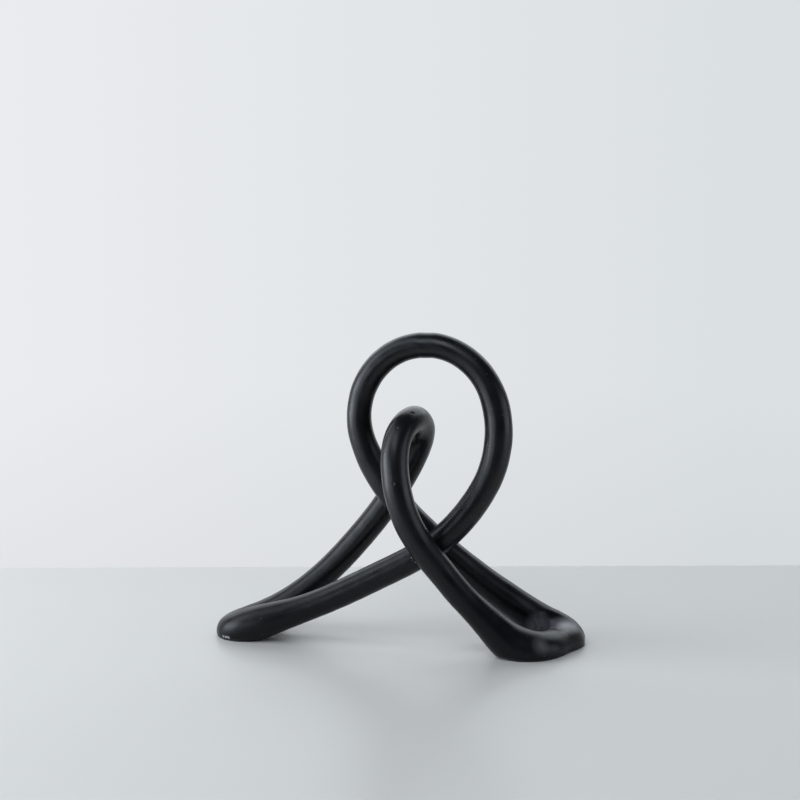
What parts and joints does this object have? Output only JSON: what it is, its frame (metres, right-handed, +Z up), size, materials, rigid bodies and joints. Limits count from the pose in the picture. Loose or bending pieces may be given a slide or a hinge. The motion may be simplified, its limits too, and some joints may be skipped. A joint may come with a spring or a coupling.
{
  "type": "knot sculpture",
  "caption": "Free-standing tabletop ornament: an endless round rod of matt black cast resin tied in an open knot, with a tall round loop, a small loop hooked through it and splayed feet.",
  "frame": {"origin": "on the table, under the middle of the bounding box", "axes": "+X from the narrow left foot to the wide right foot, +Y from the front to the back, +Z up"},
  "size_m": [0.1916, 0.0646, 0.1595],
  "materials": {
    "resin": "satin matt, rubbed down by hand, with a few casting pinholes",
    "steel": "drawn wire",
    "felt": "thin pressed felt"
  },
  "bodies": {
    "root": {"big_loop": "resin", "small_loop": "resin", "big_loop_wire": "steel", "small_loop_wire": "steel", "left_foot_pad": "felt", "right_foot_pad": "felt"}
  },
  "joints": []
}
